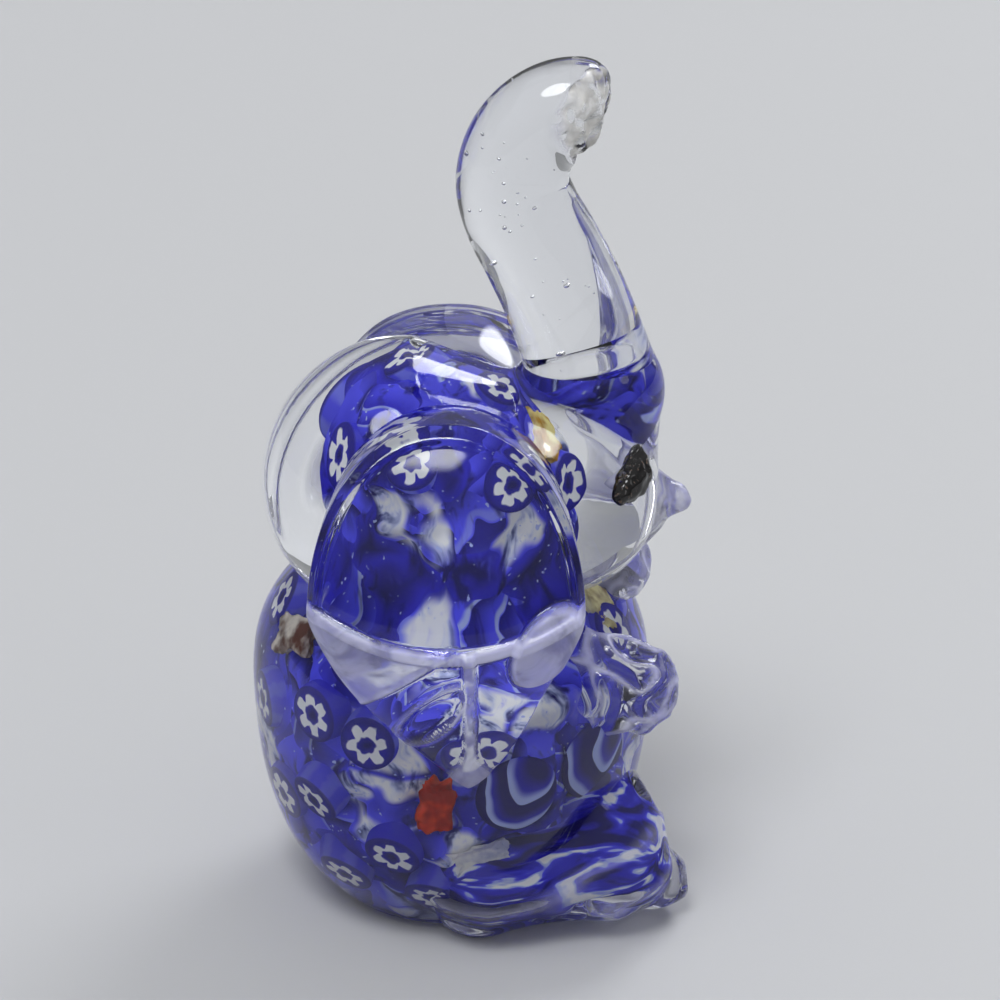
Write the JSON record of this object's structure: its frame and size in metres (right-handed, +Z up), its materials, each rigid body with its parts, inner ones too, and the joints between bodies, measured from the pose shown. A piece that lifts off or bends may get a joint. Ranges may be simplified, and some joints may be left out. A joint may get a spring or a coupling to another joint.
{
  "type": "glass elephant paperweight",
  "caption": "Seated elephant paperweight in clear glass with a raised trunk and broad ears, over a cobalt core set with white flower canes.",
  "frame": {"origin": "on the ground under the middle of the elephant's outer box", "axes": "+X the way the elephant faces, +Y its left side, +Z up"},
  "size_m": [0.0632, 0.0778, 0.1247],
  "materials": {
    "clear_glass": "fire polished",
    "cobalt_glass": "fused under clear glass",
    "flower_cane": "fused slices, white flower on cobalt",
    "red_chip": "fused under clear glass",
    "amber_chip": "fused under clear glass",
    "white_chip": "fused under clear glass",
    "black_glass": "speckled bead"
  },
  "bodies": {
    "root": {"body_core": "cobalt_glass", "body_casing": "clear_glass", "body_chip_red": "red_chip", "body_chip_amber": "amber_chip", "body_chip_white": "white_chip", "body_chip_yellow": "amber_chip", "body_cane_01": "flower_cane", "body_cane_02": "flower_cane", "body_cane_03": "flower_cane", "body_cane_04": "flower_cane", "body_cane_05": "flower_cane", "body_cane_06": "flower_cane", "body_cane_07": "flower_cane", "body_cane_08": "flower_cane", "body_cane_09": "flower_cane", "body_cane_10": "flower_cane", "body_cane_11": "flower_cane", "body_cane_12": "flower_cane", "body_cane_13": "flower_cane", "body_cane_14": "flower_cane", "body_cane_15": "flower_cane", "body_cane_16": "flower_cane", "body_cane_17": "flower_cane", "body_cane_18": "flower_cane", "body_cane_19": "flower_cane", "body_cane_20": "flower_cane", "body_cane_21": "flower_cane", "body_cane_22": "flower_cane", "body_cane_23": "flower_cane", "body_cane_24": "flower_cane", "body_cane_25": "flower_cane", "body_cane_26": "flower_cane", "body_cane_27": "flower_cane", "body_cane_28": "flower_cane", "body_cane_29": "flower_cane", "body_cane_30": "flower_cane", "body_cane_31": "flower_cane", "head_core": "cobalt_glass", "head_casing": "clear_glass", "head_chip_amber": "amber_chip", "head_cane_01": "flower_cane", "head_cane_02": "flower_cane", "head_cane_03": "flower_cane", "head_cane_04": "flower_cane", "head_cane_05": "flower_cane", "head_cane_06": "flower_cane", "head_cane_07": "flower_cane", "head_cane_08": "flower_cane", "head_cane_09": "flower_cane", "trunk": "clear_glass", "ear_right": "clear_glass", "ear_left": "clear_glass", "eye_right": "black_glass", "eye_left": "black_glass", "lip_upper": "clear_glass", "lip_lower": "clear_glass", "front_leg_right": "clear_glass", "front_leg_left": "clear_glass", "hind_leg_right": "clear_glass", "hind_leg_left": "clear_glass"}
  },
  "joints": []
}
